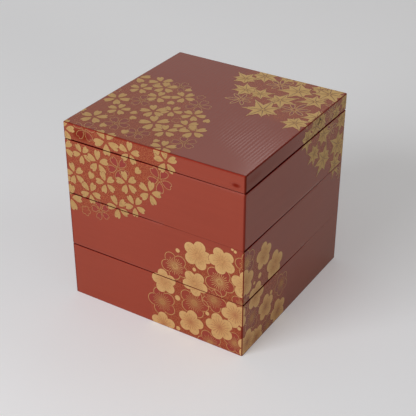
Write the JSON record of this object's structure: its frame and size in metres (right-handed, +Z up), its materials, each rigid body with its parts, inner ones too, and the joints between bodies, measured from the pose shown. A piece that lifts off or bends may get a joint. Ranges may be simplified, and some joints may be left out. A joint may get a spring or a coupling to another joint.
{
  "type": "tiered lunch box",
  "caption": "Stacked square lacquered lunch box: trays that sit on each other's lips under a lift-off lid, with painted flower clusters.",
  "frame": {"origin": "centre of the square footprint, on the surface the box stands on", "axes": "+X along the front to the right, +Y from the front to the back, +Z up"},
  "size_m": [0.195, 0.195, 0.1922],
  "materials": {
    "outside_lacquer": "satin red-brown lacquer over wood, slightly worn to bright red on the edges",
    "inside_lacquer": "satin red lacquer over wood",
    "gold_decoration": "matt gold powder sprinkled on wet lacquer"
  },
  "bodies": {
    "bottom_tier": {"bottom_tier_front_wall": "outside_lacquer", "bottom_tier_right_wall": "outside_lacquer", "bottom_tier_back_wall": "outside_lacquer", "bottom_tier_left_wall": "outside_lacquer", "bottom_tier_bottom_board": "inside_lacquer", "bottom_tier_front_lip": "inside_lacquer", "bottom_tier_right_lip": "inside_lacquer", "bottom_tier_back_lip": "inside_lacquer", "bottom_tier_left_lip": "inside_lacquer"},
    "middle_tier": {"middle_tier_front_wall": "outside_lacquer", "middle_tier_right_wall": "outside_lacquer", "middle_tier_back_wall": "outside_lacquer", "middle_tier_left_wall": "outside_lacquer", "middle_tier_bottom_board": "inside_lacquer", "middle_tier_front_lip": "inside_lacquer", "middle_tier_right_lip": "inside_lacquer", "middle_tier_back_lip": "inside_lacquer", "middle_tier_left_lip": "inside_lacquer"},
    "top_tier": {"top_tier_front_wall": "outside_lacquer", "top_tier_right_wall": "outside_lacquer", "top_tier_back_wall": "outside_lacquer", "top_tier_left_wall": "outside_lacquer", "top_tier_bottom_board": "inside_lacquer", "top_tier_front_lip": "inside_lacquer", "top_tier_right_lip": "inside_lacquer", "top_tier_back_lip": "inside_lacquer", "top_tier_left_lip": "inside_lacquer"},
    "lid": {"lid_front_rim": "outside_lacquer", "lid_right_rim": "outside_lacquer", "lid_back_rim": "outside_lacquer", "lid_left_rim": "outside_lacquer", "lid_top_board": "outside_lacquer"}
  },
  "joints": [
    {"name": "middle_tier_lift", "type": "slide", "parent": "bottom_tier", "child": "middle_tier", "axis": [0, 0, 1], "range_m": [0, 0.09]},
    {"name": "top_tier_lift", "type": "slide", "parent": "middle_tier", "child": "top_tier", "axis": [0, 0, 1], "range_m": [0, 0.09]},
    {"name": "lid_lift", "type": "slide", "parent": "top_tier", "child": "lid", "axis": [0, 0, 1], "range_m": [0, 0.09]}
  ]
}
